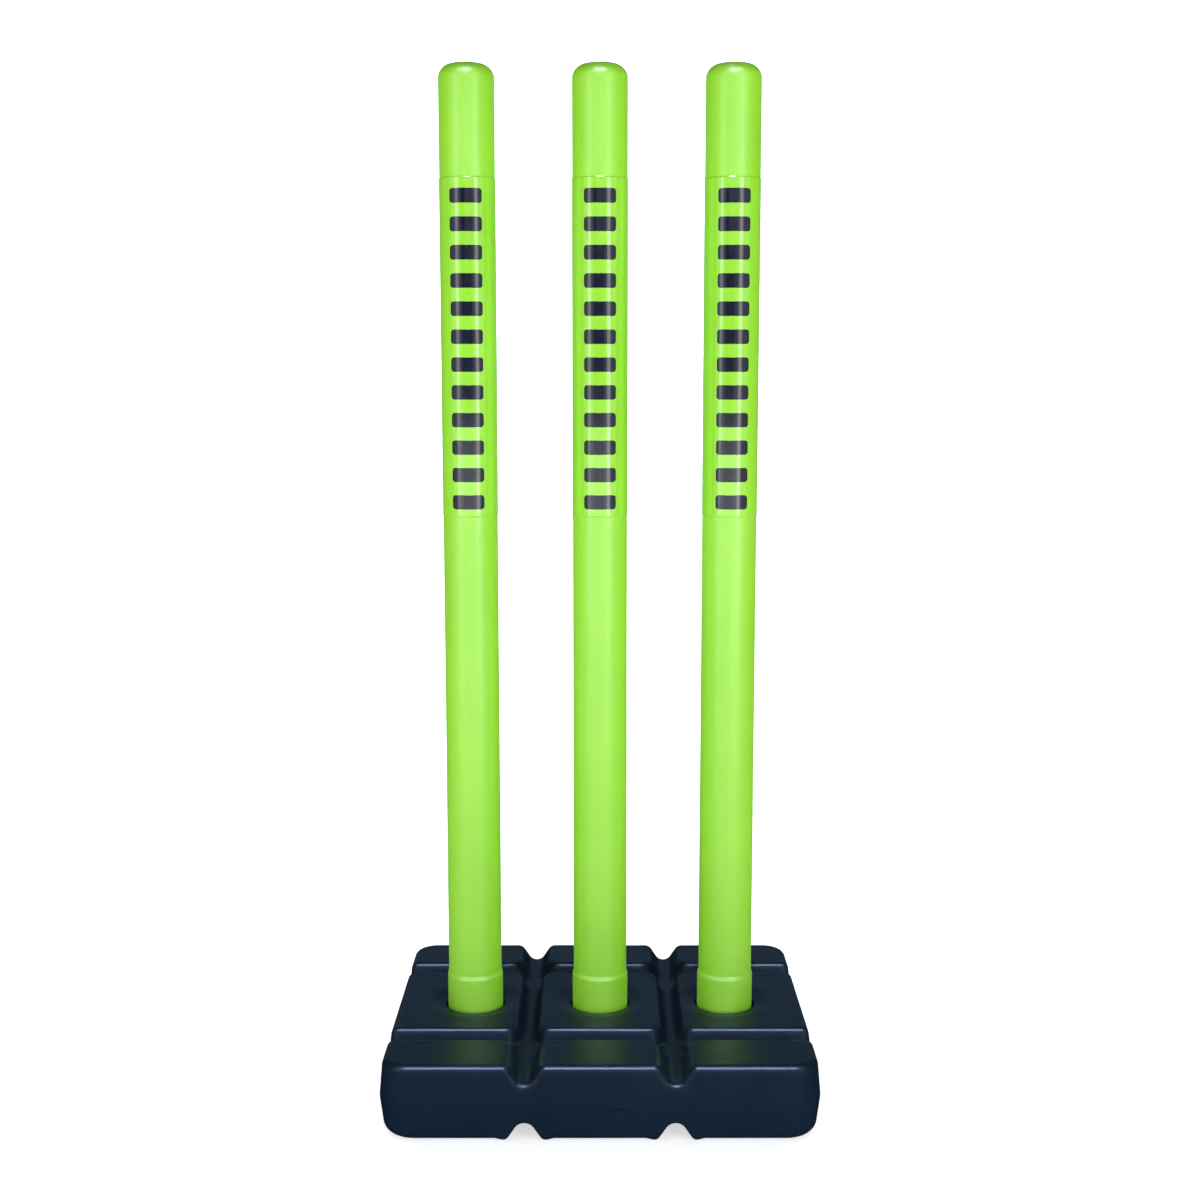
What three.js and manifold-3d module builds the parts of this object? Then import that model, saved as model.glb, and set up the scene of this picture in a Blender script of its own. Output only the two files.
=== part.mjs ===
// Cricket stumps: three hollow moulded stumps standing in the sockets of a ballasted base.
// Millimetres, +Z up, origin at the middle of the underside, front towards -Y.

import * as THREE from 'three';
import { mergeVertices } from 'three/addons/utils/BufferGeometryUtils.js';
import Module from 'manifold-3d';

const wasm = await Module();
wasm.setup();

// Base: outer form
const baseWidth = 295;
const baseDepth = 242;
const baseHeight = 53;
const seamHeight = 27; // the two halves of the mould meet here, at the widest level
const upperLean = 2.3; // each side face draws in by this from the seam to the top
const lowerLean = 2.6; // and by this from the seam to the underside
const baseCornerRadius = 19; // from the seam up
const underCornerRadius = 24; // what it grows to at the underside
const topEdgeRadius = 4.5;
const underEdgeRadius = 8;
const baseWall = 3.5;

// Base: valleys that part the top into nine pillows
const channelOffset = 50.2; // the front-to-back channels, from the middle
const grooveOffset = 64.2; // the left-to-right grooves, from the middle
const valleyDepth = 12;
const channelMouth = 22.5; // width at the top face, between the pillows of the front and back rows
const channelWallRun = 7.8; // how far a sloping wall runs out between the top face and the bed
const channelLipRadius = 6;
const channelBedRadius = 6.3;
const waistMouth = 16.4; // the channels are narrower and steeper in the middle row
const grooveMouth = 19.4; // the left-to-right grooves
const grooveWallRun = 4.2; // also of the channels in the middle row
const grooveLipRadius = 3;
const grooveBedRadius = 5.2;
const pillowCornerRadius = 8;
const pillowReach = 0.8; // how far a pillow's own outer face lies past the base's, which trims it

// Base: notches along the underside, below the channels
const notchMouth = 24.7;
const notchCrown = 7.9;
const notchDepth = 12.9;
const notchLipRadius = 7;
const notchCrownRadius = 7.2;

// Sockets
const socketDepth = 40;
const mouthClearance = 1; // round the foot, at the top of the socket
const floorClearance = 0.4; // round the foot, at the bottom of the socket
const seatGap = 0.3; // under the foot
const socketLipRadius = 1.2;
const socketFloorRadius = 2.5;
const dishDepth = 2.6; // the top face dips towards each socket
const dishRadius = 33;
const dishRimRadius = 30;

// Stumps
const wicketHeight = 711; // top of the stumps above the ground
const stumpPitch = 90.4;
const tubeRadius = 19;
const footRadius = 19.85; // the thicker foot that stands in the socket and shows as a collar
const collarHeight = 23; // how far the collar stands above the base's top face
const collarShoulder = 2.2; // height over which the collar draws in to the tube
const collarEdgeRadius = 1.2;
const collarCoveRadius = 0.6;
const crownRadius = 9.4;
const crownRise = 0.5; // the top is a little higher in the middle
const footEdgeRadius = 3;
const stumpWall = 2.2;
const blowMouthRadius = 7; // the moulding's open mouth, under the foot

// Label film
const labelLength = 229;
const labelDrop = 75.8; // from the top of the stump to the film's upper edge
const labelThickness = 0.12;
const labelGap = 0.15;
const labelOpening = 3; // the film's ends stop short of each other by this, at the back

// Filler bung
const bungRadius = 8;
const bungLength = 9;
const bungTaper = 0.8;
const bungOffset = 13.3; // right of the middle
const bungHeight = 15.9;
const bungGap = 0.3;

// Ballast
const fillLevel = 44;
const ballastGap = 0.3;

const overrun = 5; // how far cutters run past what they cut
const weldReach = 0.0001; // points nearer than this are one point

// Facets
const arcStep = THREE.MathUtils.degToRad(30);
const coarseArcStep = THREE.MathUtils.degToRad(48);
const roundFacets = 32;
const coarseRoundFacets = 20;
const straightTurn = 1e-6; // a corner that turns less than this is left as one point

// Finishes
const navyBlack = { color: 0x1a2337, roughness: 0.42, metalness: 0 };
const fluorescentGreen = { color: 0x92e242, roughness: 0.36, metalness: 0 };
const clearFilm = { color: 0xdff5c8, roughness: 0.08, metalness: 0, transparent: true, opacity: 0.25 };
const drySand = { color: 0xb59a6c, roughness: 0.95, metalness: 0 };

// Plane outlines

// A corner of an outline, rounded to a radius where the lines beside it leave room.
function roundCorner(before, corner, after, radius, step) {
  const toBefore = before.clone().sub(corner);
  const toAfter = after.clone().sub(corner);
  const opening = Math.abs(toBefore.angleTo(toAfter));
  const turn = Math.PI - opening;
  if (radius <= 0 || turn < straightTurn) {
    return [corner.clone()];
  }
  const reach = radius / Math.tan(opening / 2);
  const start = corner.clone().addScaledVector(toBefore.normalize(), reach);
  const centreLine = toBefore.clone().add(toAfter.normalize()).normalize();
  const centre = corner.clone().addScaledVector(centreLine, radius / Math.sin(opening / 2));
  const spoke = start.clone().sub(centre);
  const side = -Math.sign(toBefore.cross(toAfter));
  const steps = Math.max(1, Math.ceil(turn / step));
  const points = [];
  for (let i = 0; i <= steps; i += 1) {
    const angle = (side * turn * i) / steps;
    points.push(spoke.clone().rotateAround(new THREE.Vector2(), angle).add(centre));
  }
  return points;
}

// An open outline through corners given as [across, up, radius].
function openOutline(corners, step = arcStep) {
  const places = corners.map(([across, up]) => new THREE.Vector2(across, up));
  return places.flatMap((place, i) => {
    if (i === 0 || i === places.length - 1) {
      return [place];
    }
    const radius = corners[i][2] ?? 0;
    return roundCorner(places[i - 1], place, places[i + 1], radius, step);
  });
}

// A level rectangle with its own radius at each corner, the same number of points whatever the radii.
function rectangleRing(low, high, radii, step, height) {
  const corners = [
    [high.x, low.y, radii.rightFront],
    [high.x, high.y, radii.rightBack],
    [low.x, high.y, radii.leftBack],
    [low.x, low.y, radii.leftFront],
  ];
  const places = corners.map(([x, y]) => new THREE.Vector2(x, y));
  const points = places.flatMap((place, i) => {
    const before = places[(i + 3) % 4];
    const after = places[(i + 1) % 4];
    return roundCorner(before, place, after, corners[i][2], step);
  });
  return points.map((point) => new THREE.Vector3(point.x, point.y, height));
}

// Solids

// A closed skin over rings of equal count, from the lowest to the highest.
function loft(rings) {
  const count = rings[0].length;
  const index = [];
  for (let level = 0; level < rings.length - 1; level += 1) {
    for (let i = 0; i < count; i += 1) {
      const a = level * count + i;
      const b = level * count + ((i + 1) % count);
      index.push(a, b, b + count, a, b + count, a + count);
    }
  }
  const last = (rings.length - 1) * count;
  for (let i = 1; i < count - 1; i += 1) {
    index.push(0, i + 1, i);
    index.push(last, last + i, last + i + 1);
  }
  const geometry = new THREE.BufferGeometry().setFromPoints(rings.flat());
  geometry.setIndex(index);
  return geometry;
}

function solidOf(geometry) {
  const bare = geometry.clone();
  bare.deleteAttribute('normal');
  bare.deleteAttribute('uv');
  const merged = mergeVertices(bare, weldReach);
  return new wasm.Manifold(
    new wasm.Mesh({
      numProp: 3,
      vertProperties: new Float32Array(merged.attributes.position.array),
      triVerts: new Uint32Array(merged.index.array),
    }),
  );
}

function geometryOf(solid) {
  const mesh = solid.getMesh();
  const geometry = new THREE.BufferGeometry();
  geometry.setAttribute('position', new THREE.BufferAttribute(new Float32Array(mesh.vertProperties), 3));
  geometry.setIndex(Array.from(mesh.triVerts));
  geometry.computeVertexNormals();
  return geometry;
}

// A lathe turns about +Y, so it is stood up on +Z.
function turned(profile, facets = roundFacets) {
  return new THREE.LatheGeometry(profile, facets).rotateX(Math.PI / 2);
}

// A section given across X and up Z, run from front to back through the middle.
function runFrontToBack(section, length) {
  const shape = new THREE.Shape(section);
  const geometry = new THREE.ExtrudeGeometry(shape, { depth: length, bevelEnabled: false });
  return geometry.rotateX(Math.PI / 2).translate(0, length / 2, 0);
}

function boxBetween(low, high) {
  const size = high.clone().sub(low);
  const middle = low.clone().add(high).multiplyScalar(1 / 2);
  return new THREE.BoxGeometry(size.x, size.y, size.z).translate(middle.x, middle.y, middle.z);
}

// Base

const socketFloorHeight = baseHeight - socketDepth;
const stumpPlaces = [
  { side: 'left', across: -stumpPitch },
  { side: 'middle', across: 0 },
  { side: 'right', across: stumpPitch },
];

// How far a side face has drawn in at a height above the seam.
function leanAt(height) {
  return (upperLean * (height - seamHeight)) / (baseHeight - seamHeight);
}

// The corner radius in plan at a height below the seam.
function underRadiusAt(height) {
  return THREE.MathUtils.mapLinear(height, 0, seamHeight, underCornerRadius, baseCornerRadius);
}

// The base without valleys, notches or sockets, drawn in on all sides by an inset.
function plainBase(inset, step) {
  const room = underCornerRadius;
  const profile = openOutline(
    [
      [lowerLean + inset + room, inset],
      [lowerLean + inset, inset, Math.max(underEdgeRadius - inset, 0)],
      [inset, seamHeight],
      [upperLean + inset, baseHeight - inset, Math.max(topEdgeRadius - inset, 0)],
      [upperLean + inset + room, baseHeight - inset],
    ],
    step,
  ).slice(1, -1);
  const rings = profile.map((point) => {
    const high = new THREE.Vector2(baseWidth / 2 - point.x, baseDepth / 2 - point.x);
    const fullRadius = point.y < seamHeight ? underRadiusAt(point.y) : baseCornerRadius;
    const radius = Math.max(fullRadius - point.x, topEdgeRadius / 2);
    const radii = { rightFront: radius, rightBack: radius, leftBack: radius, leftFront: radius };
    return rectangleRing(high.clone().negate(), high, radii, step, point.y);
  });
  return solidOf(loft(rings));
}

// One side of a valley: how far it lies out from the pillow's edge, against height, from its bed to its lip.
function valleySide(wall, inset, step) {
  const bedHeight = baseHeight - valleyDepth - inset;
  return openOutline(
    [
      [wall.run + wall.bedRadius - inset, bedHeight],
      [wall.run - inset, bedHeight, wall.bedRadius],
      [-inset, baseHeight - inset, Math.max(wall.lipRadius - inset, 0)],
      [-inset - wall.lipRadius, baseHeight - inset],
    ],
    step,
  ).slice(1, -1);
}

// Where such a side lies at a height, read between the points of its outline.
function reachAt(side, height) {
  const above = side.findIndex((point) => point.y > height);
  const upper = above < 0 ? side.length - 1 : Math.max(above, 1);
  const [low, high] = [side[upper - 1], side[upper]];
  return THREE.MathUtils.mapLinear(height, low.y, high.y, low.x, high.x);
}

const channelWall = { run: channelWallRun, lipRadius: channelLipRadius, bedRadius: channelBedRadius };
const grooveWall = { run: grooveWallRun, lipRadius: grooveLipRadius, bedRadius: grooveBedRadius };

// Edges of the pillows along one direction, each with its low and its high side.
function pillowSpans(extent, offset, mouth) {
  const outer = extent / 2 + pillowReach;
  const near = offset - mouth / 2;
  const far = offset + mouth / 2;
  return [
    { low: -outer, high: -far, lowOuter: true, highOuter: false },
    { low: -near, high: near, lowOuter: false, highOuter: false },
    { low: far, high: outer, lowOuter: false, highOuter: true },
  ];
}

function isOuter(span) {
  return span.lowOuter || span.highOuter;
}

function pillow(column, row, inset, step) {
  const channelSide = valleySide(isOuter(row) ? channelWall : grooveWall, inset, step);
  const rings = valleySide(grooveWall, inset, step).map(({ x: along, y: height }) => {
    const draw = leanAt(height) + inset;
    const across = reachAt(channelSide, height);
    const low = new THREE.Vector2(
      column.low + (column.lowOuter ? draw : -across),
      row.low + (row.lowOuter ? draw : -along),
    );
    const high = new THREE.Vector2(
      column.high - (column.highOuter ? draw : -across),
      row.high - (row.highOuter ? draw : -along),
    );
    const valley = pillowCornerRadius + Math.min(across, along) + inset;
    const outer = pillowCornerRadius + pillowReach;
    const radii = {
      rightFront: column.highOuter || row.lowOuter ? outer : valley,
      rightBack: column.highOuter || row.highOuter ? outer : valley,
      leftBack: column.lowOuter || row.highOuter ? outer : valley,
      leftFront: column.lowOuter || row.lowOuter ? outer : valley,
    };
    return rectangleRing(low, high, radii, step, height);
  });
  const foot = rings[0].map((point) => point.clone().setZ(point.z - overrun));
  return solidOf(loft([foot, ...rings]));
}

// Everything below the valleys' beds, with the nine pillows standing on it.
function pillowedTop(inset, step) {
  const reach = new THREE.Vector2(baseWidth / 2 + overrun, baseDepth / 2 + overrun);
  const slab = boxBetween(
    new THREE.Vector3(-reach.x, -reach.y, -overrun),
    new THREE.Vector3(reach.x, reach.y, baseHeight - valleyDepth - inset),
  );
  let top = solidOf(slab);
  for (const row of pillowSpans(baseDepth, grooveOffset, grooveMouth)) {
    const mouth = isOuter(row) ? channelMouth : waistMouth;
    for (const column of pillowSpans(baseWidth, channelOffset, mouth)) {
      top = top.add(pillow(column, row, inset, step));
    }
  }
  return top;
}

// A notch along the underside, with the walls of the valley above it.
function notchCutter(inset, step) {
  const foot = notchMouth / 2 + inset;
  const crown = notchCrown / 2 + inset;
  const crownHeight = notchDepth + inset;
  const lip = Math.max(notchLipRadius - inset, 0);
  const brim = foot + notchLipRadius;
  const section = openOutline(
    [
      [-brim, -overrun],
      [-brim, inset, 0],
      [-foot, inset, lip],
      [-crown, crownHeight, notchCrownRadius],
      [crown, crownHeight, notchCrownRadius],
      [foot, inset, lip],
      [brim, inset, 0],
      [brim, -overrun],
    ],
    step,
  );
  return runFrontToBack(section, baseDepth + 2 * overrun);
}

// The room of a socket and the dish round it, grown by an inset so that it also gives the walls.
function socketCutter(inset, step) {
  const mouth = footRadius + mouthClearance + inset;
  const floor = footRadius + floorClearance + inset;
  const lip = Math.max(socketLipRadius - inset, 0);
  const floorHeight = socketFloorHeight - inset;
  const rimHeight = baseHeight - inset;
  const brim = dishRadius + dishRimRadius;
  const profile = openOutline(
    [
      [0, floorHeight],
      [floor, floorHeight, socketFloorRadius],
      [mouth, rimHeight - dishDepth, lip],
      [dishRadius, rimHeight, dishRimRadius],
      [brim, rimHeight, 0],
      [brim, rimHeight + overrun, 0],
      [0, rimHeight + overrun],
    ],
    step,
  );
  return turned(profile, inset > 0 ? coarseRoundFacets : roundFacets);
}

function baseForm(inset, step) {
  let form = plainBase(inset, step).intersect(pillowedTop(inset, step));
  for (const side of [-1, 1]) {
    form = form.subtract(solidOf(notchCutter(inset, step).translate(side * channelOffset, 0, 0)));
  }
  for (const place of stumpPlaces) {
    form = form.subtract(solidOf(socketCutter(inset, step).translate(place.across, 0, 0)));
  }
  return form;
}

// A round bar from the front face inwards, about the bung's centre.
function bungBar(radius, innerRadius, front, length) {
  const profile = [
    new THREE.Vector2(0, 0),
    new THREE.Vector2(innerRadius, 0),
    new THREE.Vector2(radius, length / 2),
    new THREE.Vector2(radius, length),
    new THREE.Vector2(0, length),
  ];
  const bar = new THREE.LatheGeometry(profile, roundFacets);
  return bar.rotateZ(Math.PI).translate(bungOffset, front + length, bungHeight);
}

const outerForm = baseForm(0, arcStep);
const bungFront = -baseDepth / 2 - overrun;
const bungReach = overrun + lowerLean + bungLength;
const bungHole = bungBar(bungRadius + bungGap, bungRadius + bungGap, bungFront, bungReach);
const bungBlank = bungBar(bungRadius, bungRadius - bungTaper, bungFront, bungReach - bungGap);

const baseShell = outerForm.subtract(baseForm(baseWall, coarseArcStep)).subtract(solidOf(bungHole));
const fillerBung = solidOf(bungBlank).intersect(plainBase(0, arcStep));

const fillCeiling = boxBetween(
  new THREE.Vector3(-baseWidth, -baseDepth, fillLevel),
  new THREE.Vector3(baseWidth, baseDepth, baseHeight),
);
const ballast = baseForm(baseWall + ballastGap, coarseArcStep)
  .subtract(solidOf(fillCeiling))
  .subtract(solidOf(bungHole));

// Stump and label

const footHeight = socketFloorHeight + seatGap;
const shoulderHeight = baseHeight + collarHeight;

function stumpGeometry() {
  const outside = openOutline([
    [0, wicketHeight],
    [tubeRadius, wicketHeight - crownRise, crownRadius],
    [tubeRadius, shoulderHeight, collarCoveRadius],
    [footRadius, shoulderHeight - collarShoulder, collarEdgeRadius],
    [footRadius, footHeight, footEdgeRadius],
    [blowMouthRadius, footHeight],
  ]);
  const inside = openOutline(
    [
      [blowMouthRadius, footHeight + stumpWall],
      [footRadius - stumpWall, footHeight + stumpWall, footEdgeRadius - stumpWall],
      [footRadius - stumpWall, shoulderHeight - collarShoulder, 0],
      [tubeRadius - stumpWall, shoulderHeight, 0],
      [tubeRadius - stumpWall, wicketHeight - crownRise - stumpWall, crownRadius - stumpWall],
      [0, wicketHeight - stumpWall],
    ],
    coarseArcStep,
  );
  const profile = [...outside, ...inside].reverse();
  return turned(profile);
}

function labelGeometry() {
  const inner = tubeRadius + labelGap;
  const outer = inner + labelThickness;
  const half = labelOpening / 2 / outer;
  const start = Math.PI / 2 + half;
  const end = Math.PI / 2 - half + 2 * Math.PI;
  const shape = new THREE.Shape();
  shape.absarc(0, 0, outer, start, end, false);
  shape.absarc(0, 0, inner, end, start, true);
  shape.closePath();
  const settings = { depth: labelLength, bevelEnabled: false, curveSegments: roundFacets };
  return new THREE.ExtrudeGeometry(shape, settings);
}

// Assembly

function named(name, geometry, finish) {
  const mesh = new THREE.Mesh(geometry, new THREE.MeshStandardMaterial(finish));
  mesh.name = name;
  return mesh;
}

const wicket = new THREE.Group();

const base = new THREE.Group();
base.add(named('base_shell', geometryOf(baseShell), navyBlack));
base.add(named('ballast', geometryOf(ballast), drySand));
base.add(named('filler_bung', geometryOf(fillerBung), navyBlack));
wicket.add(base);

for (const place of stumpPlaces) {
  const stump = new THREE.Group();
  stump.position.x = place.across;
  stump.add(named(`stump_${place.side}`, stumpGeometry(), fluorescentGreen));
  const label = named(`label_${place.side}`, labelGeometry(), clearFilm);
  label.position.z = wicketHeight - labelDrop - labelLength;
  stump.add(label);
  wicket.add(stump);
}

export default wicket;
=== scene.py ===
# Cricket stumps: moulded stumps standing in the sockets of a ballasted base.
import math
import bpy
import numpy as np
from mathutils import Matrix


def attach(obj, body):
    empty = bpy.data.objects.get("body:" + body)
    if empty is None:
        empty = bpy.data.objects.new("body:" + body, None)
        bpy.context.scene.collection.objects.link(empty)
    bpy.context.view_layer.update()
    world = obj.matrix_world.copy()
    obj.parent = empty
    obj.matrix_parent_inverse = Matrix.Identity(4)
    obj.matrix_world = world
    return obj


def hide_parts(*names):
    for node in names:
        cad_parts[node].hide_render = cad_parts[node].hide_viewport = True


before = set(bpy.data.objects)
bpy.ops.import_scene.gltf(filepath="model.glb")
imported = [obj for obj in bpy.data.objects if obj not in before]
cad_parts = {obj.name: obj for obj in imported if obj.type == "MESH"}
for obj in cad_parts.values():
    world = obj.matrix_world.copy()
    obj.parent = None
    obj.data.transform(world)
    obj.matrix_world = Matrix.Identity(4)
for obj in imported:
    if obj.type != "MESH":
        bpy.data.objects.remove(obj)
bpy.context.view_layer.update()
print("frame loaded:", sorted(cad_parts))

mm = 0.001
tiny = 1e-9  # keeps a division away from nought

# Camera

cameraView = {
    "place": (0.0, -1.164162, 0.506554),
    "pitchDown": 7.847,  # degrees below level
    "focalShare": 1669.214 / 1200,  # focal length over the width of the frame
    "sensorWidth": 36.0,
    "clipStart": 0.05,
}


def addCamera(view):
    data = bpy.data.cameras.new("camera")
    data.sensor_width = view["sensorWidth"]
    data.lens = view["focalShare"] * view["sensorWidth"]
    data.clip_start = view["clipStart"]
    camera = bpy.data.objects.new("camera", data)
    bpy.context.scene.collection.objects.link(camera)
    camera.location = view["place"]
    camera.rotation_euler = (math.radians(90 - view["pitchDown"]), 0, 0)
    bpy.context.scene.camera = camera


addCamera(cameraView)

# Mesh tools


# The numbers of a grid's points, row by row.
def gridIndex(rows, columns):
    return np.arange(rows * columns).reshape(rows, columns)


# Quads over a grid of rows and columns of points; wrapped joins the last column to the first.
def gridFaces(rows, columns, wrapped=False):
    index = gridIndex(rows, columns)
    if wrapped:
        index = np.hstack([index, index[:, :1]])
    return np.stack([index[:-1, :-1], index[:-1, 1:], index[1:, 1:], index[1:, :-1]], -1).reshape(-1, 4)


# The outer ring of a grid of point numbers, from its first corner along its first row and round.
def ringOf(index):
    return np.concatenate([index[0, :-1], index[:-1, -1], index[-1, :0:-1], index[:0:-1, 0]])


# Several sheets of points and quads as one, the point numbers of each following on from the last.
def joinSheets(sheets):
    points, quads, count = [], [], 0
    for sheetPoints, sheetQuads in sheets:
        points.append(sheetPoints.reshape(-1, 3))
        quads.append(sheetQuads + count)
        count += len(points[-1])
    return np.concatenate(points), np.vstack(quads)


# A thin closed sheet from an outer and an inner grid of points, with a rim of quads between their edges.
def closedSheet(outer, inner):
    rows, columns = outer.shape[:2]
    size = rows * columns
    ring = ringOf(gridIndex(rows, columns))
    nextRing = np.roll(ring, -1)
    face = gridFaces(rows, columns)
    rim = np.stack([ring, ring + size, nextRing + size, nextRing], -1)
    points = np.concatenate([outer.reshape(-1, 3), inner.reshape(-1, 3)])
    return points, np.vstack([face, face[:, ::-1] + size, rim])


# Points that fall together become one, and a face that has lost a corner to this keeps its other three.
def weldGrid(points, quads, reach=1e-4):
    keys = np.round(points / reach).astype(np.int64)
    _, first, inverse = np.unique(keys, axis=0, return_index=True, return_inverse=True)
    quads = inverse.reshape(-1)[quads]
    faces = [[c for k, c in enumerate(q) if c != q[k - 1]] for q in quads.tolist()]
    return points[first], [f for f in faces if len(f) > 2]


# A smooth mesh from points in millimetres, with its place in its vertices.
def addPiece(name, points, faces, body, slot, replaced=()):
    mesh = bpy.data.meshes.new(name)
    mesh.from_pydata((points * mm).tolist(), [], faces if isinstance(faces, list) else faces.tolist())
    mesh.validate()
    mesh.shade_smooth()
    piece = bpy.data.objects.new(name, mesh)
    bpy.context.scene.collection.objects.link(piece)
    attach(piece, body)
    if replaced:
        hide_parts(*replaced)
    print(name, len(mesh.vertices), "points", len(mesh.polygons), "faces")
    return piece


# A line with arcs for corners, each arc between its two tangent points. The two ends are across, up, and a
# corner between them is across, up, radius, steps.
def roundedLine(corners):
    places = np.array([c[:2] for c in corners], float)
    line = [places[:1]]
    for k in range(1, len(places) - 1):
        radius, steps = corners[k][2], corners[k][3]
        back, ahead = places[k - 1] - places[k], places[k + 1] - places[k]
        back, ahead = back / np.hypot(*back), ahead / np.hypot(*ahead)
        opening = math.acos(np.clip(back @ ahead, -1, 1))
        middle = (back + ahead) / np.hypot(*(back + ahead))
        centre = places[k] + middle * radius / math.sin(opening / 2)
        start = places[k] + back * radius / math.tan(opening / 2) - centre
        side = -np.sign(back[0] * ahead[1] - back[1] * ahead[0])
        turn = side * np.linspace(0, math.pi - opening, steps + 1)
        cosine, sine = np.cos(turn), np.sin(turn)
        arc = np.stack([start[0] * cosine - start[1] * sine, start[0] * sine + start[1] * cosine], -1)
        line.append(centre + arc)
    line.append(places[-1:])
    return np.vstack(line)


# More points along the straight runs of a line, none further apart than a step.
def filledLine(line, step):
    out = [line[:1]]
    for start, end in zip(line[:-1], line[1:]):
        count = max(1, int(math.ceil(np.hypot(*(end - start)) / step)))
        share = np.arange(1, count + 1)[:, None] / count
        out.append(start + (end - start) * share)
    return np.vstack(out)


# Points at a radius and an angle about an upright axis that stands some way across from the middle.
def turned(radius, angle, across, height):
    x, y = radius * np.cos(angle) + across, radius * np.sin(angle)
    return np.stack([x, y, np.broadcast_to(height, x.shape)], -1)


# The corners of a rectangle's grid bent round their centres: each square ring becomes a circular one, its
# angle being the share of the way along the square's side times an eighth of a turn.
def bentCorners(x, y, halfX, halfY, corner):
    a = np.maximum(np.abs(x) - (halfX - corner), 0)
    b = np.maximum(np.abs(y) - (halfY - corner), 0)
    ring = np.maximum(a, b)
    safe = np.maximum(ring, tiny)
    angle = np.where(a >= b, (math.pi / 4) * b / safe, math.pi / 2 - (math.pi / 4) * a / safe)
    inCorner = (a > 0) & (b > 0)
    bentX = np.sign(x) * (halfX - corner + ring * np.cos(angle))
    bentY = np.sign(y) * (halfY - corner + ring * np.sin(angle))
    return np.where(inCorner, bentX, x), np.where(inCorner, bentY, y)


# Slow unevenness of a moulded wall, within -1 and 1: the mean of five sine waves across x, y and z, each of
# its own direction and phase.
def unevenness(x, y, z, wavelength, seed):
    turns = np.random.default_rng(seed).uniform(-1, 1, (5, 4))
    total, phaseReach = 0, 9
    for ax, ay, az, phase in turns:
        total = total + np.sin(2 * math.pi * (ax * x + ay * y + az * z) / wavelength + phaseReach * phase)
    return total / len(turns)


# Base

base = {
    "width": 295.0,
    "depth": 242.0,
    "height": 53.0,
    "seam": 27.0,
    "upperLean": 2.3,
    "lowerLean": 2.6,
    "cornerRadius": 19.0,
    "underCornerRadius": 24.0,
    "topEdge": 4.5,
    "underEdge": 8.0,
    "notchEdge": 2.6,
    "channelOffset": 50.2,
    "channelMouth": 22.5,
    "channelRun": 7.8,
    "channelLip": 6.0,
    "channelBed": 6.3,
    "waistMouth": 16.4,  # the channels between the middle pillows
    "grooveOffset": 64.2,
    "grooveMouth": 19.4,
    "grooveRun": 4.2,
    "grooveLip": 3.0,
    "grooveBed": 5.2,
    "valleyDepth": 12.0,
    "pillowCorner": 8.0,
    "notchMouth": 24.7,
    "notchCrown": 7.9,
    "notchDepth": 12.9,
    "notchLip": 7.0,
    "notchCrownRadius": 7.2,
    "seamGroove": 0.22,
    "seamWidth": 0.35,
    "waviness": 0.2,
    "waveLength": 70.0,
    "waveSeed": 3,
}
socket = {
    "pitch": 90.4,
    "mouth": 21.5,
    "floor": 20.25,
    "floorHeight": 13.0,
    "lip": 0.9,
    "brim": 1.6,  # how far the rounded lip reaches out from the mouth, in lips
    "floorRadius": 2.5,
    "floorRing": 8.0,
    "wallStep": 6.0,
    "dishDepth": 2.4,
    "dishRadius": 33.0,
    "dishRim": 30.0,
    "window": 26.0,  # half the square that is left open for it in the grid of the top
    "rings": 8,
}
# the hole round the CAD bung, in the front
bung = {
    "across": 13.3,
    "up": 15.9,
    "radius": 8.1,
    "edge": 0.45,
    "edgeTurns": (0.5, 1.05, 1.57),
    "wallStop": 4.0,
    "depth": 9.6,
    "floorRing": 4.0,
    "window": 10.5,  # half the width that is left open for it in the grid of the skirt
    "windowDrop": 11.2,
    "windowClear": 1.2,
    "ownSpacing": 0.4,  # the window's share in how the rim's points are spaced, against even spacing
    "rings": 7,
    "startIn": 2,  # how far behind the front its sheet lies before it is drawn onto the surface
}
# how far the drawn lines of walls run on past their last corners
lineReach = {"overPillow": 9, "overBed": 60, "overTop": 400, "underBase": 90}

halfWidth, halfDepth = base["width"] / 2, base["depth"] / 2
channelHalf, waistHalf = base["channelMouth"] / 2, base["waistMouth"] / 2
grooveHalf = base["grooveMouth"] / 2
bedHeight = base["height"] - base["valleyDepth"]


# The wall of a valley as a line: how far out from the pillow's edge, and how high.
def valleyWall(run, lip, bed):
    return roundedLine([
        (-lineReach["overPillow"], base["height"]),
        (0, base["height"], lip, 12),
        (run, bedHeight, bed, 14),
        (lineReach["overBed"], bedHeight),
    ])


channelWall = valleyWall(base["channelRun"], base["channelLip"], base["channelBed"])
grooveWall = valleyWall(base["grooveRun"], base["grooveLip"], base["grooveBed"])
# the dip is a cone, its stated depth down at the socket's mouth, that runs out into the flat top
dishTip = socket["dishDepth"] * socket["dishRadius"] / (socket["dishRadius"] - socket["mouth"])
dishLine = roundedLine([
    (0, base["height"] - dishTip),
    (socket["dishRadius"], base["height"], socket["dishRim"], 10),
    (lineReach["overTop"], base["height"]),
])
notchWall = roundedLine([
    (0, base["notchDepth"]),
    (base["notchCrown"] / 2, base["notchDepth"], base["notchCrownRadius"], 10),
    (base["notchMouth"] / 2, 0, base["notchLip"], 12),
    (lineReach["underBase"], 0),
])


# Distance to a rectangle with rounded corners, below zero inside it: the distance to the smaller rectangle
# that its corners' centres make, less the radius.
def rectangleGap(x, y, halfX, halfY, radius):
    dx = np.abs(x) - (halfX - radius)
    dy = np.abs(y) - (halfY - radius)
    outside = np.hypot(np.maximum(dx, 0), np.maximum(dy, 0))
    return outside + np.minimum(np.maximum(dx, dy), 0) - radius


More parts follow.
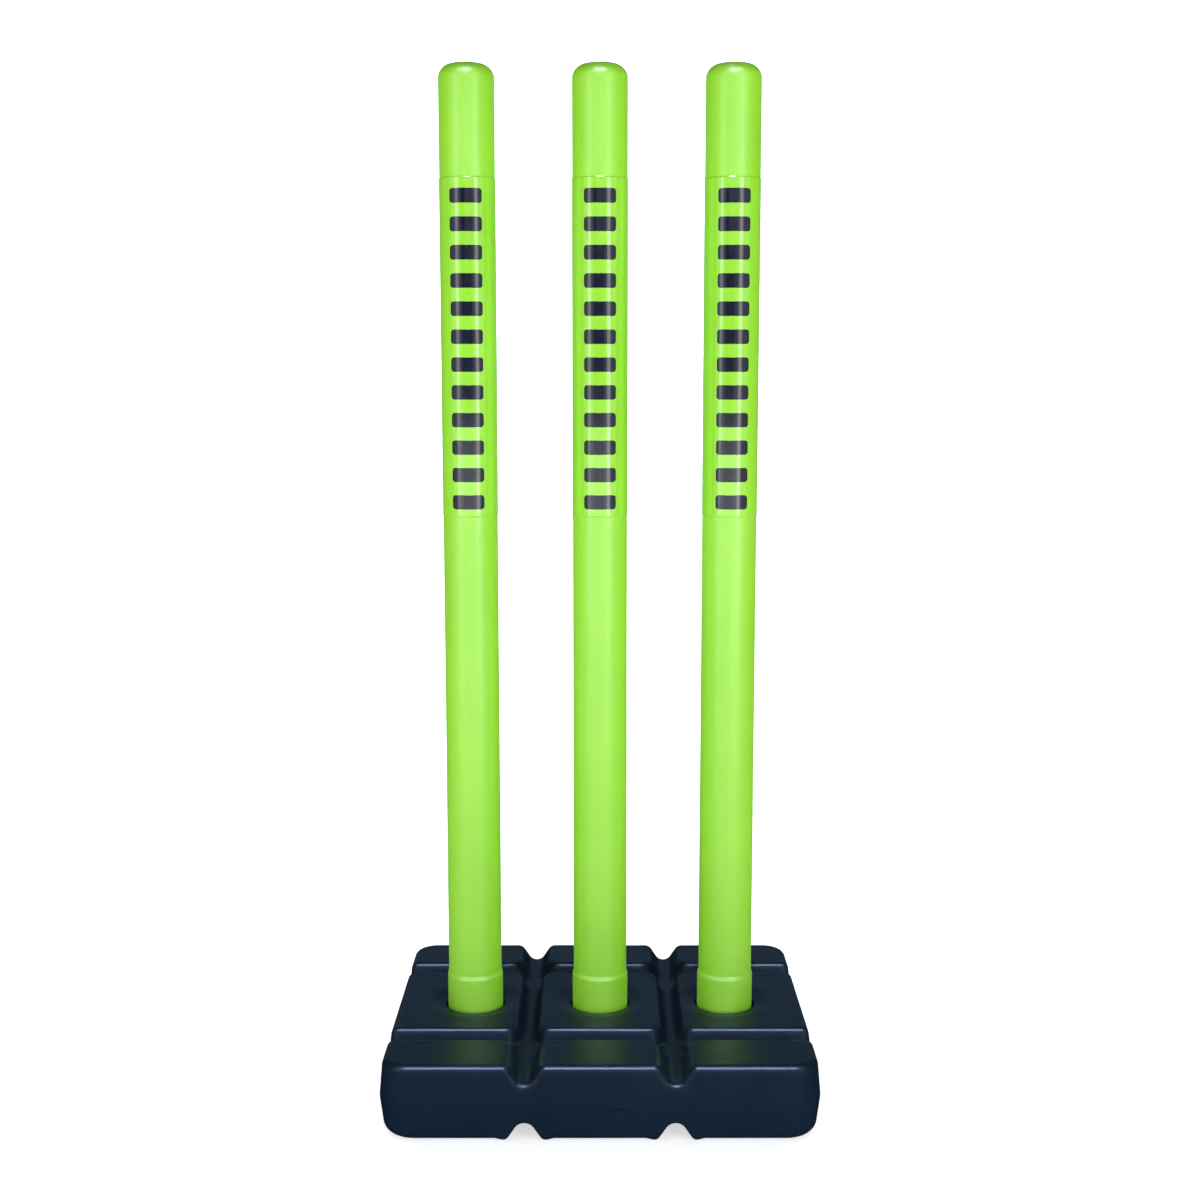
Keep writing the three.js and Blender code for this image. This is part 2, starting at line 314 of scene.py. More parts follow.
# Height of a wall drawn as a line, at a distance along it, and its steepness factor: one over the length
# of the slope's vector, which turns a difference of heights into a distance from the wall.
def alongWall(wall, distance):
    nudge = 0.05
    height = np.interp(distance, wall[:, 0], wall[:, 1])
    ahead = np.interp(distance + nudge, wall[:, 0], wall[:, 1])
    behind = np.interp(distance - nudge, wall[:, 0], wall[:, 1])
    return height, 1 / np.hypot(1, (ahead - behind) / (2 * nudge))


# The height and steepness of one pillow with the valleys round it. Its wall changes from the one kind to
# the other round a corner, by the square of the way across over the sum of both squares.
def pillowForm(x, y, halfX, halfY, sideWall):
    radius = base["pillowCorner"]
    gap = rectangleGap(x, y, halfX, halfY, radius)
    across = np.maximum(np.abs(x) - (halfX - radius), 0) ** 2
    along = np.maximum(np.abs(y) - (halfY - radius), 0) ** 2
    share = across / np.maximum(across + along, tiny)
    forms = alongWall(sideWall, gap), alongWall(grooveWall, gap)
    return tuple(share * side + (1 - share) * end for side, end in zip(*forms))


# How far the top dips towards the nearest socket: the dish's line, read at the distance from the axis.
def dishDrop(x, y):
    fromMiddle = np.abs(x)
    across = np.minimum(fromMiddle, np.abs(fromMiddle - socket["pitch"]))
    return base["height"] - np.interp(np.hypot(across, y), dishLine[:, 0], dishLine[:, 1])


# The top face with its valleys: the highest of the four pillows that count once the base is folded at its
# middle both ways, less the dip. A pillow at the edge runs on far beyond it.
def topForm(x, y):
    far, belowAll = 200.0, -1.0
    rows = (
        (0.0, base["grooveOffset"] - grooveHalf, waistHalf, grooveWall),
        (base["grooveOffset"] + grooveHalf + far, far, channelHalf, channelWall),
    )
    height, steep = np.full(np.shape(x), belowAll), np.ones(np.shape(x))
    for cy, hy, half, wall in rows:
        for cx, hx in ((0.0, base["channelOffset"] - half), (base["channelOffset"] + half + far, far)):
            h, s = pillowForm(np.abs(x) - cx, np.abs(y) - cy, hx, hy, wall)
            height, steep = np.where(h > height, h, height), np.where(h > height, s, steep)
    return height - dishDrop(x, y), steep


def topHeight(x, y):
    return topForm(x, y)[0]


# The underside's height and steepness: the notch's line, read at the distance from the nearer notch.
def notchForm(x):
    return alongWall(notchWall, np.abs(np.abs(x) - base["channelOffset"]))


def notchHeight(x):
    return notchForm(x)[0]


# The sharper of two surfaces, with an arc of a radius where they meet: the length of what both rise above
# minus the radius, less the radius.
def roundedMeet(a, b, radius):
    inside = np.minimum(np.maximum(a, b), -radius)
    return inside + np.hypot(np.maximum(a + radius, 0), np.maximum(b + radius, 0))


# How far the side leans in at a height: in proportion to the distance from the mould seam, up or down.
def leanAt(z):
    upper = base["upperLean"] * (z - base["seam"]) / (base["height"] - base["seam"])
    lower = base["lowerLean"] * (base["seam"] - z) / base["seam"]
    return np.where(z > base["seam"], upper, lower)


# How far a point lies outside the base: the gaps to its side, top and underside, joined by arcs. The side is
# the rounded rectangle's gap plus the lean, plus a narrow bell curve of height that cuts the seam's groove.
# The top and the underside are differences of height times steepness. A slow wave draws side and top in.
def baseGap(p):
    x, y, z = p[..., 0], p[..., 1], p[..., 2]
    under = np.clip(1 - z / base["seam"], 0, 1)
    corner = base["cornerRadius"] + (base["underCornerRadius"] - base["cornerRadius"]) * under
    side = rectangleGap(x, y, halfWidth, halfDepth, corner) + leanAt(z)
    side = side + base["seamGroove"] * np.exp(-(((z - base["seam"]) / base["seamWidth"]) ** 2))
    wave = base["waviness"] * (unevenness(x, y, z, base["waveLength"], base["waveSeed"]) - 1) / 2
    side = side - wave
    height, steep = topForm(x, y)
    top = (z - height - wave) * steep
    notch, notchSteep = notchForm(x)
    bottom = (notch - z) * notchSteep
    fromNotch = (np.abs(np.abs(x) - base["channelOffset"]) - base["notchMouth"] / 2) / base["notchLip"]
    underEdge = base["notchEdge"] + (base["underEdge"] - base["notchEdge"]) * np.clip(fromNotch, 0, 1)
    return roundedMeet(roundedMeet(side, bottom, underEdge), top, base["topEdge"])


# Points are drawn onto the surface where the gap is nought, down the gap's own slope: each round moves a
# point by the gap over the slope's squared length, along the slope.
def drawnOnto(points, gap, only=None):
    points = points.copy()
    rounds, nudge, leastSlope, longestMove = 9, 0.02, 0.05, 2.5
    for _ in range(rounds):
        slope = np.zeros_like(points)
        for axis in range(3):
            if only is not None and axis != only:
                continue
            step = np.zeros(3)
            step[axis] = nudge
            slope[..., axis] = (gap(points + step) - gap(points - step)) / (2 * nudge)
        steep = np.maximum((slope ** 2).sum(-1), leastSlope)
        move = slope * (gap(points) / steep)[..., None]
        points = points - np.clip(move, -longestMove, longestMove)
    return points


planCorner = base["cornerRadius"] - base["upperLean"]  # at the top face
planX, planY = halfWidth - base["upperLean"], halfDepth - base["upperLean"]
planGrid = {
    "fine": 0.7,
    "coarse": 2.4,
    "margin": 3.5,
    "edgeShares": (0.86, 0.73, 0.61, 0.5, 0.4, 0.31, 0.24, 0.18, 0.13, 0.085, 0.045, 0.02, 0),
}


# Grid lines along one direction of the top, close together over the valley and the outer edge.
def planLines(valleyStart, valleyEnd, windows, reach):
    start, end = valleyStart - planGrid["margin"], valleyEnd + planGrid["margin"]
    stops = sorted(set([0.0, start, end, reach - planCorner] + windows))
    lines = [0.0]
    for low, high in zip(stops[:-1], stops[1:]):
        step = planGrid["fine"] if start <= low < end else planGrid["coarse"]
        count = max(1, int(round((high - low) / step)))
        lines += list(np.linspace(low, high, count + 1)[1:])
    lines = np.array(lines + list(reach - planCorner * np.array(planGrid["edgeShares"])))
    return np.concatenate([-lines[::-1], lines[1:]])


xLines = planLines(
    base["channelOffset"] - channelHalf, base["channelOffset"] + channelHalf,
    [socket["window"], socket["pitch"] - socket["window"], socket["pitch"] + socket["window"]], planX,
)
yLines = planLines(
    base["grooveOffset"] - grooveHalf, base["grooveOffset"] + grooveHalf, [socket["window"]], planY,
)
# the bung's window in the front needs two lines of its own
bungWindow = [bung["across"] - bung["window"], bung["across"] + bung["window"]]
keep = np.ones(len(xLines), bool)
for line in bungWindow:
    keep &= np.abs(xLines - line) > bung["windowClear"]
xLines = np.sort(np.concatenate([xLines[keep | (np.abs(xLines) == socket["window"])], bungWindow]))
print("base lines", len(xLines), "by", len(yLines))

# the rows of the skirt: below the top, shares of the way to the seam, by the seam, and up from the underside
skirtRows = {
    "belowTop": (0, 0.4, 0.85, 1.4, 2.0, 2.6, 3.3, 4.2),
    "toSeam": (0.25, 0.5, 0.75),
    "bySeam": (1.4, 0.7, 0.35, 0, -0.35, -0.7, -1.4),
    "fromSeam": (0.33, 0.67),
    "aboveUnderside": (9.6, 7.6, 6.0, 4.6, 3.3, 2.2, 1.2, 0.5, 0),
}


# The way out of the plan at a point of its outline.
def outlineNormal(x, y):
    hair = 1e-6
    cx, cy = np.abs(x) - (planX - planCorner), np.abs(y) - (planY - planCorner)
    nx = np.where(cy <= hair, np.sign(x), 0.0)
    ny = np.where(cx <= hair, np.sign(y), 0.0)
    inCorner = (cx > hair) & (cy > hair)
    length = np.maximum(np.hypot(cx, cy), tiny)
    return np.where(inCorner, np.sign(x) * cx / length, nx), np.where(inCorner, np.sign(y) * cy / length, ny)


# The outer skin of the base as three grids drawn onto its surface, top, skirt and underside, with one set of
# lines running through all three.
def baseSkin():
    gridX, gridY = np.meshgrid(xLines, yLines)
    planeX, planeY = bentCorners(gridX, gridY, planX, planY, planCorner)
    ring = ringOf(gridIndex(*gridX.shape))
    edgeX, edgeY = planeX.ravel()[ring], planeY.ravel()[ring]
    normalX, normalY = outlineNormal(edgeX, edgeY)

    high, low = topHeight(edgeX, edgeY), notchHeight(edgeX)
    seamLines = [base["seam"] + s for s in skirtRows["bySeam"]]
    levels = [high - s for s in skirtRows["belowTop"]]
    levels += [levels[-1] + (seamLines[0] - levels[-1]) * s for s in skirtRows["toSeam"]]
    levels += [np.full_like(high, s) for s in seamLines]
    risen = [low + s for s in skirtRows["aboveUnderside"]]
    levels += [seamLines[-1] + (risen[0] - seamLines[-1]) * s for s in skirtRows["fromSeam"]] + risen
    skirtZ = np.array(levels)
    out = base["upperLean"] - leanAt(skirtZ)
    skirt = np.stack([edgeX + normalX * out, edgeY + normalY * out, skirtZ], -1)

    top = np.stack([planeX, planeY, topHeight(planeX, planeY)], -1).reshape(-1, 3)
    under = np.stack([planeX, planeY, notchHeight(planeX)], -1).reshape(-1, 3)
    top, skirt, under = (drawnOnto(sheet, baseGap) for sheet in (top, skirt, under))
    top[ring], under[ring] = skirt[0], skirt[-1]
    return top, skirt, under


# A window's edge points carried in to a circle, in rings that share out the way between.
def windowToCircle(edge, circle, rings):
    share = np.linspace(0, 1, rings + 1)[1:, None, None]
    return edge[None] * (1 - share) + circle[None] * share


def nearestLine(lines, value):
    return int(np.argmin(np.abs(lines - value)))


# A socket from its brim in the dish, over the rounded lip and down its tapered wall to the middle of its
# floor, as a line of radius and height.
def socketLine():
    brim = socket["mouth"] + socket["brim"] * socket["lip"]
    floor = socket["floorHeight"]
    line = roundedLine([
        (brim, np.interp(brim, dishLine[:, 0], dishLine[:, 1])),
        (socket["mouth"], base["height"] - socket["dishDepth"], socket["lip"], 8),
        (socket["floor"], floor, socket["floorRadius"], 6),
        (0, floor),
    ])
    return np.vstack([filledLine(line[:-1], socket["wallStep"]), [[socket["floorRing"], floor]], line[-1:]])


# A socket's sheet: rings from its square window in to the brim, dipped by the dish, and then the socket's
# line turned about its axis.
def socketGrid(edge, across, line):
    count = len(edge)
    turn = -0.75 * math.pi + 2 * math.pi * np.arange(count) / count  # from the front left corner
    way = np.stack([np.cos(turn), np.sin(turn)], -1)
    mouthRing = np.column_stack([way * line[0, 0] + [across, 0], np.full(count, base["height"])])
    undished = edge.copy()
    undished[:, 2] += dishDrop(edge[:, 0], edge[:, 1])
    sheet = windowToCircle(undished, mouthRing, socket["rings"])
    sheet[..., 2] -= dishDrop(sheet[..., 0], sheet[..., 1])
    radii = line[1:, 0][:, None, None]
    heights = np.broadcast_to(line[1:, 1][:, None, None], (len(radii), count, 1))
    well = np.concatenate([way[None] * radii + [across, 0], heights], -1)
    return np.concatenate([edge[None], sheet, well])


# The bung hole's sheet: rings from its window in the skirt to the rim, each drawn back onto the base along y,
# a rounded edge, a straight wall and a flat floor.
def bungGrid(edge):
    middle = np.array([bung["across"], bung["up"]])
    turn = np.arctan2(edge[:, 2] - middle[1], edge[:, 0] - middle[0])
    even = turn[0] - 2 * math.pi * np.arange(len(turn)) / len(turn)
    turn = np.unwrap(turn) * bung["ownSpacing"] + even * (1 - bung["ownSpacing"])
    way = np.stack([np.cos(turn), np.sin(turn)], -1)
    rim = way * (bung["radius"] + bung["edge"]) + middle
    flat = windowToCircle(edge[:, [0, 2]], rim, bung["rings"])
    startY = np.full(flat.shape[:2], -halfDepth + bung["startIn"])
    sheet = np.stack([flat[..., 0], startY, flat[..., 1]], -1)
    sheet = drawnOnto(sheet, baseGap, only=1)
    face = sheet[-1, :, 1]
    rounds = [(1 - math.sin(t), 1 - math.cos(t)) for t in bung["edgeTurns"]]
    hole = [(bung["radius"] + bung["edge"] * wide, face + bung["edge"] * deep) for wide, deep in rounds]
    straight = ((bung["radius"], bung["wallStop"]), (bung["radius"], bung["depth"]),
                (bung["floorRing"], bung["depth"]), (0.0, bung["depth"]))
    hole += [(radius, np.full_like(face, -halfDepth + deep)) for radius, deep in straight]
    inward = [np.stack([way[:, 0] * r + middle[0], y, way[:, 1] * r + middle[1]], -1) for r, y in hole]
    return np.concatenate([edge[None], sheet, np.array(inward)])


# The top with its three socket windows, the sockets, the skirt with the bung's window, the bung's hole and
# the underside, welded into one closed skin.
def buildBase():
    top, skirt, under = baseSkin()
    rows, columns = len(yLines), len(xLines)
    index = gridIndex(rows, columns)
    topFaces = np.ones((rows - 1, columns - 1), bool)
    wells = []
    for across in (-socket["pitch"], 0.0, socket["pitch"]):
        c0, c1 = (nearestLine(xLines, across + s * socket["window"]) for s in (-1, 1))
        r0, r1 = (nearestLine(yLines, s * socket["window"]) for s in (-1, 1))
        topFaces[r0:r1, c0:c1] = False
        well = socketGrid(top[ringOf(index[r0:r1 + 1, c0:c1 + 1])], across, socketLine())
        wells.append((well, gridFaces(*well.shape[:2], wrapped=True)))

    levels, around = skirt.shape[:2]
    c0, c1 = (nearestLine(xLines[:-1], line) for line in bungWindow)
    windowTop, windowBottom = base["seam"] + skirtRows["bySeam"][-1], bung["up"] - bung["windowDrop"]
    r0, r1 = (nearestLine(skirt[:, c0, 2], height) for height in (windowTop, windowBottom))
    skirtFaces = np.ones((levels - 1, around), bool)
    skirtFaces[r0:r1, c0:c1] = False
    hole = bungGrid(skirt.reshape(-1, 3)[ringOf(gridIndex(levels, around)[r0:r1 + 1, c0:c1 + 1])])

    plan = gridFaces(rows, columns)
    return weldGrid(*joinSheets([
        (top, plan[topFaces.ravel()]),
        *wells,
        (skirt, gridFaces(levels, around, wrapped=True)[:, ::-1][skirtFaces.ravel()]),
        (hole, gridFaces(*hole.shape[:2], wrapped=True)[:, ::-1]),
        (under, plan[:, ::-1]),
    ]))


basePiece = addPiece("moulded_base", *buildBase(), "base", "base_plastic", ["base_shell"])

# Stumps

stump = {
    "top": 711.0,
    "tube": 19.0,
    "foot": 19.85,
    "footHeight": 13.3,
    "footArc": 3.0,
    "collarTop": 76.4,
    "collarTopArc": 1.2,
    "collarEdge": 73.6,
    "collarEdgeArc": 1.1,
    "crown": 9.4,
    "crownRise": 0.5,
    "wall": 2.2,
    "mouth": 7.0,
    "innerFootArc": 0.8,
    "innerCollarArc": 1.0,
    "innerCrown": 7.2,
    "rowStep": 7.0,
    "columns": 46,  # in half a turn, beside those close to a parting line
    "seamColumns": (0, 0.25, 0.5, 0.8, 1.2, 1.8, 2.6),  # distances from it
    "partingHeight": 0.1,
    "partingWidth": 0.3,
    "nickDepth": 0.45,
    "nickWidth": 0.55,
    "nickDrop": 3.2,
    "nickHeight": 2.4,
    "waviness": 0.05,
    "waveLength": 60.0,
    "waveStart": 60,  # the foot and collar stay true
    "waveSeed": 11,
}


# A low ridge with the section of a bell curve, over a distance from the parting line.
def partingRidge(distance, width):
    return stump["partingHeight"] * np.exp(-((distance / width) ** 2))


# A stump is a line of radius and height turned about its axis. What moves it in and out is the parting ridge
# less the nick, which is a bell curve both ways at the front of the crown, plus the slow unevenness, all of
# it on the outer wall and by the square of the radius over the tube's, so that it fades at the pole.
def buildStump(across, seed):
    tube, foot, wall = stump["tube"], stump["foot"], stump["wall"]
    outer = roundedLine([
        (0, stump["top"]),
        (tube, stump["top"] - stump["crownRise"], stump["crown"], 22),
        (tube, stump["collarTop"], stump["collarTopArc"], 5),
        (foot, stump["collarEdge"], stump["collarEdgeArc"], 6),
        (foot, stump["footHeight"], stump["footArc"], 8),
        (stump["mouth"], stump["footHeight"]),
    ])
    outer = filledLine(outer, stump["rowStep"])
    inner = roundedLine([
        (stump["mouth"], stump["footHeight"] + wall),
        (foot - wall, stump["footHeight"] + wall, stump["innerFootArc"], 2),
        (foot - wall, stump["collarEdge"], stump["innerCollarArc"], 2),
        (tube - wall, stump["collarTop"], stump["innerCollarArc"], 2),
        (tube - wall, stump["top"] - wall - stump["crownRise"], stump["innerCrown"], 8),
        (0, stump["top"] - wall),
    ])
    profile = np.vstack([outer, inner])
    close = np.array(stump["seamColumns"]) / tube
    between = np.linspace(close[-1], math.pi - close[-1], stump["columns"])[1:-1]
    quarter = np.concatenate([close, between, math.pi - close[::-1]])
    angle = np.concatenate([quarter, quarter[1:-1] + math.pi]) - math.pi / 2
    radius, height = profile[:, :1], profile[:, 1:]

    fromSeam = (np.abs(np.mod(angle, math.pi) - math.pi / 2) * tube)[None]
    isOuter = (np.arange(len(profile)) < len(outer))[:, None]
    onWall = np.clip(radius / tube, 0, 1) ** 2 * isOuter
    ridge = partingRidge(fromSeam, stump["partingWidth"])
    isFront = np.sin(angle)[None] < 0
    nickAcross = np.exp(-((fromSeam / stump["nickWidth"]) ** 2))
    nickUp = np.exp(-(((height - stump["top"] + stump["nickDrop"]) / stump["nickHeight"]) ** 2))
    nick = stump["nickDepth"] * nickAcross * nickUp * isFront
    x, y = radius * np.cos(angle)[None], radius * np.sin(angle)[None]
    waved = np.clip((height - stump["waveStart"]) / stump["waveLength"], 0, 1)
    slow = stump["waviness"] * unevenness(x, y, height, stump["waveLength"], seed) * waved
    points = turned(radius + (ridge - nick + slow) * onWall, angle, across, height)
    quads = gridFaces(len(profile), len(angle), wrapped=True)[:, ::-1]
    # the line runs on from the foot's mouth to the inner wall, and its two ends weld to points on the axis
    return weldGrid(points.reshape(-1, 3), quads)


sides = (("left", -socket["pitch"]), ("middle", 0.0), ("right", socket["pitch"]))
stumpPieces = {}
for number, (side, across) in enumerate(sides):
    name = "stump_" + side
    shape = buildStump(across, stump["waveSeed"] + number)
    stumpPieces[side] = addPiece("moulded_" + name, *shape, name, "stump_plastic", [name])

# Label film and its print

film = {
    "low": 406.2,
    "high": 635.2,
    "inner": 19.13,
    "outer": 19.24,
    "opening": 3.0,
    "edge": 0.05,
    "ridgeWidth": 0.5,
    "columns": 121,
    "rows": 24,
    "rowInset": 1,
}


# The film is a thin closed sheet in arc length and height, wrapped round the stump at its radius plus the
# parting ridge, with its outer edges drawn in.
def buildFilm(across):
    half = math.pi - film["opening"] / 2 / film["outer"]
    angle = np.linspace(-half, half, film["columns"]) - math.pi / 2
    rowLow, rowHigh = film["low"] + film["rowInset"], film["high"] - film["rowInset"]
    height = np.concatenate([
        [film["low"], film["low"] + film["edge"]],
        np.linspace(rowLow, rowHigh, film["rows"]),
        [film["high"] - film["edge"], film["high"]],
    ])
    fromSeam = np.abs(np.mod(angle, math.pi) - math.pi / 2) * stump["tube"]
    ridge = partingRidge(fromSeam, film["ridgeWidth"])
    outer = np.full((len(height), len(angle)), film["outer"]) + ridge
    outer[[0, -1]] -= film["edge"]
    outer[:, [0, -1]] -= film["edge"]
    inner = np.full_like(outer, film["inner"]) + ridge
    return closedSheet(*(turned(radius, angle, across, height[:, None]) for radius in (outer, inner)))


printBars = {
    "count": 12,
    "low": 411.5,
    "high": 627.5,
    "width": 23.0,
    "share": 0.52,  # of the pitch that a bar fills
    "corner": 2.2,
    "lift": 0.02,
    "thickness": 0.05,
    "cornerSteps": 6,
    "acrossSteps": 30,
    "upSteps": 5,
}


# Lines from one side of a bar to the other, closer together towards both, where its corners turn.
def barLines(half, steps):
    corner = printBars["corner"]
    near = corner * (1 - np.cos(np.linspace(0, math.pi / 2, printBars["cornerSteps"])))
    between = np.linspace(-half + corner, half - corner, steps)[1:-1]
    return np.concatenate([-half + near, between, (half - near)[::-1]])


# The print is a column of plain rounded bars: each is a rectangle's grid with its corners bent round, as a
# thin closed sheet wrapped on the film.
def buildPrint(across):
    pitch = (printBars["high"] - printBars["low"]) / (printBars["count"] - 1 + printBars["share"])
    halfTall, halfWide = pitch * printBars["share"] / 2, printBars["width"] / 2
    lineU, lineV = barLines(halfWide, printBars["acrossSteps"]), barLines(halfTall, printBars["upSteps"])
    gridU, gridV = bentCorners(*np.meshgrid(lineU, lineV), halfWide, halfTall, printBars["corner"])
    angle = gridU / film["outer"] - math.pi / 2
    ridge = partingRidge(gridU, film["ridgeWidth"])
    lifts = (printBars["lift"] + printBars["thickness"], printBars["lift"])
    radii = [film["outer"] + lift + ridge for lift in lifts]
    bars = []
    for bar in range(printBars["count"]):
        height = gridV + (printBars["low"] + halfTall + pitch * bar)
        bars.append(closedSheet(*(turned(radius, angle, across, height) for radius in radii)))
    return joinSheets(bars)


filmPieces, printPieces = {}, {}
for side, across in sides:
    body = "stump_" + side
    filmPieces[side] = addPiece("film_" + side, *buildFilm(across), body, "label_film", ["label_" + side])
    printPieces[side] = addPiece("print_" + side, *buildPrint(across), body, "label_film")

# Materials


# A material of noise in object coordinates on the principled shader.
class NodeTree:
    def __init__(self, name):
        self.material = bpy.data.materials.new(name)
        self.material.use_nodes = True
        self.tree = self.material.node_tree
        self.shader = self.tree.nodes["Principled BSDF"]
        self.place = self.add("ShaderNodeTexCoord").outputs["Object"]

    def add(self, kind, links=None, values=None):
        node = self.tree.nodes.new(kind)
        for key, source in (links or {}).items():
            self.tree.links.new(source, node.inputs[key])
        for key, value in (values or {}).items():
            node.inputs[key].default_value = value
        return node

    def noise(self, scale, detail):
        values = {"Scale": scale, "Detail": detail, "Roughness": 0.5}
        return self.add("ShaderNodeTexNoise", {"Vector": self.place}, values).outputs["Fac"]

    def ramp(self, source, colours, positions=(0.3, 0.7)):
        node = self.add("ShaderNodeValToRGB", {"Fac": source})
        for element, position, colour in zip(node.color_ramp.elements, positions, colours):
            element.position = position
            element.color = tuple(colour) + (1.0,)
        return node.outputs["Color"]

    def span(self, source, low, high):
        values = {"From Min": 0.0, "From Max": 1.0, "To Min": low, "To Max": high}
        return self.add("ShaderNodeMapRange", {"Value": source}, values).outputs["Result"]

    def bump(self, source, strength, distance, under):
        links = {"Height": source, "Normal": under} if under else {"Height": source}
        node = self.add("ShaderNodeBump", links, {"Strength": strength, "Distance": distance})
        return node.outputs["Normal"]

    def join(self, source, socketName):
        self.tree.links.new(source, self.shader.inputs[socketName])

    def fix(self, values):
        for key, value in values.items():
            self.shader.inputs[key].default_value = value


# a cloud and a gloss are noise of a scale and detail, and a bump adds a strength and a distance in metres
greenLook = {
    "name": "green_polyethylene",
    "cloud": (14.0, 2.0),
    "colours": ((0.28, 0.69, 0.013), (0.31, 0.735, 0.02)),
    "gloss": (120.0, 4.0),
    "roughness": (0.34, 0.44),
    "bumps": ((2600.0, 2.0, 0.12, 0.00004), (60.0, 2.0, 0.25, 0.0002)),
    "fixed": {"Specular IOR Level": 1.0, "IOR": 1.5},
}
filmLook = {
    "name": "clear_film_on_green",
    "cloud": (14.0, 2.0),
    "colours": ((0.285, 0.69, 0.040), (0.315, 0.735, 0.050)),
    "gloss": (90.0, 3.0),
    "roughness": (0.09, 0.13),
    "bumps": ((35.0, 2.0, 0.2, 0.0002),),
    "fixed": {"Specular IOR Level": 0.9, "IOR": 1.5},
}
inkLook = {
    "name": "navy_print",
    "cloud": (200.0, 3.0),
    "colours": ((0.006, 0.009, 0.02), (0.010, 0.014, 0.032)),
    "gloss": (90.0, 3.0),
    "roughness": (0.12, 0.18),
    "bumps": ((35.0, 2.0, 0.2, 0.0002),),
    "fixed": {"Specular IOR Level": 0.6, "IOR": 1.5},
}
navyLook = {
    "name": "navy_black_polyethylene",
    "cloud": (18.0, 3.0),
    "colours": ((0.004, 0.011, 0.025), (0.0058, 0.0145, 0.032)),
    "gloss": (45.0, 4.0),
    "roughness": (0.29, 0.36),
    "bumps": ((950.0, 2.0, 0.12, 0.00012), (40.0, 1.0, 0.15, 0.0003)),
    "fixed": {"Specular IOR Level": 0.12, "IOR": 1.5},
}
sandLook = {
    "name": "dry_sand",
    "cloud": (900.0, 6.0),
    "colours": ((0.30, 0.22, 0.12), (0.62, 0.50, 0.32)),
    "gloss": (500.0, 4.0),
    "roughness": (0.85, 1.0),
    "bumps": ((1400.0, 4.0, 0.8, 0.0006),),
    "fixed": {},
}


def buildMaterial(look):
    m = NodeTree(look["name"])
    m.join(m.ramp(m.noise(*look["cloud"]), look["colours"]), "Base Color")
    m.join(m.span(m.noise(*look["gloss"]), *look["roughness"]), "Roughness")
    normal = None
    for scale, detail, strength, distance in look["bumps"]:
        normal = m.bump(m.noise(scale, detail), strength, distance, normal)
    m.join(normal, "Normal")
    m.fix(look["fixed"])
    return m.material


def setMaterial(piece, material):
    piece.data.materials.clear()
    piece.data.materials.append(material)


def giveNode(name, material):
    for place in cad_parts[name].material_slots:
        place.material = material


looks = (greenLook, filmLook, inkLook, navyLook, sandLook)
green, filmGreen, ink, navy, sand = (buildMaterial(look) for look in looks)
setMaterial(basePiece, navy)
for side, _ in sides:
    setMaterial(stumpPieces[side], green)
    setMaterial(filmPieces[side], filmGreen)
    setMaterial(printPieces[side], ink)
giveNode("filler_bung", navy)
giveNode("ballast", sand)
print("materials set")

# Floor and light

studio = {
    "floorSize": 8.0,
    "wallDistance": 2.6,
    "bend": 0.8,
    "bendSteps": 24,
    "floorLook": {"Base Color": (0.9, 0.9, 0.9, 1.0), "Roughness": 0.9, "Specular IOR Level": 0.1},
    "floorGlow": 0.6,  # keeps the pale floor white right up to the base
    "white": (1.0, 1.0, 1.0, 1.0),
    "worldStrength": 0.2,
    "backdropRadius": 7.5,
    "backdropHeight": 7.0,
    "backdropSides": 64,
    "backdropGlow": 1.0,
}


# A white part of the studio, in metres, that gives off some light of its own.
def addStudioPiece(name, materialName, points, faces, look, glow):
    mesh = bpy.data.meshes.new(name)
    mesh.from_pydata(points.reshape(-1, 3).tolist(), [], faces.tolist())
    piece = bpy.data.objects.new(name, mesh)
    bpy.context.scene.collection.objects.link(piece)
    m = NodeTree(materialName)
    m.fix(look)
    m.fix({"Emission Color": studio["white"], "Emission Strength": glow})
    mesh.materials.append(m.material)
    return piece


# The floor runs back level and bends up into a wall: a profile carried sideways.
def addStudioFloor():
    size, wall, bend = studio["floorSize"], studio["wallDistance"], studio["bend"]
    turn = np.linspace(0, math.pi / 2, studio["bendSteps"])
    lineY = np.concatenate([[-size], wall - bend + bend * np.sin(turn), [wall]])
    lineZ = np.concatenate([[0.0], bend * (1 - np.cos(turn)), [size]])
    sideways = np.broadcast_to([-size, size], (len(lineY), 2))
    points = np.stack([sideways, np.repeat(lineY[:, None], 2, 1), np.repeat(lineZ[:, None], 2, 1)], -1)
    faces, look = gridFaces(len(lineY), 2), studio["floorLook"]
    floor = addStudioPiece("studio_floor", "pale_floor", points, faces, look, studio["floorGlow"])
    floor.data.shade_smooth()
    floor.visible_glossy = False


# A round white wall beyond the floor, which only the camera sees: a circle carried straight up.
def addBackdrop():
    count = studio["backdropSides"]
    turn = np.linspace(0, 2 * math.pi, count, endpoint=False)
    ring = studio["backdropRadius"] * np.stack([np.cos(turn), np.sin(turn), 0 * turn], -1)
    points = np.stack([ring, ring + [0, 0, studio["backdropHeight"]]])
    faces = gridFaces(2, count, wrapped=True)
    backdrop = addStudioPiece("white_backdrop", "white_backdrop", points, faces, {}, studio["backdropGlow"])
    backdrop.visible_diffuse = False
    backdrop.visible_glossy = False
    backdrop.visible_shadow = False


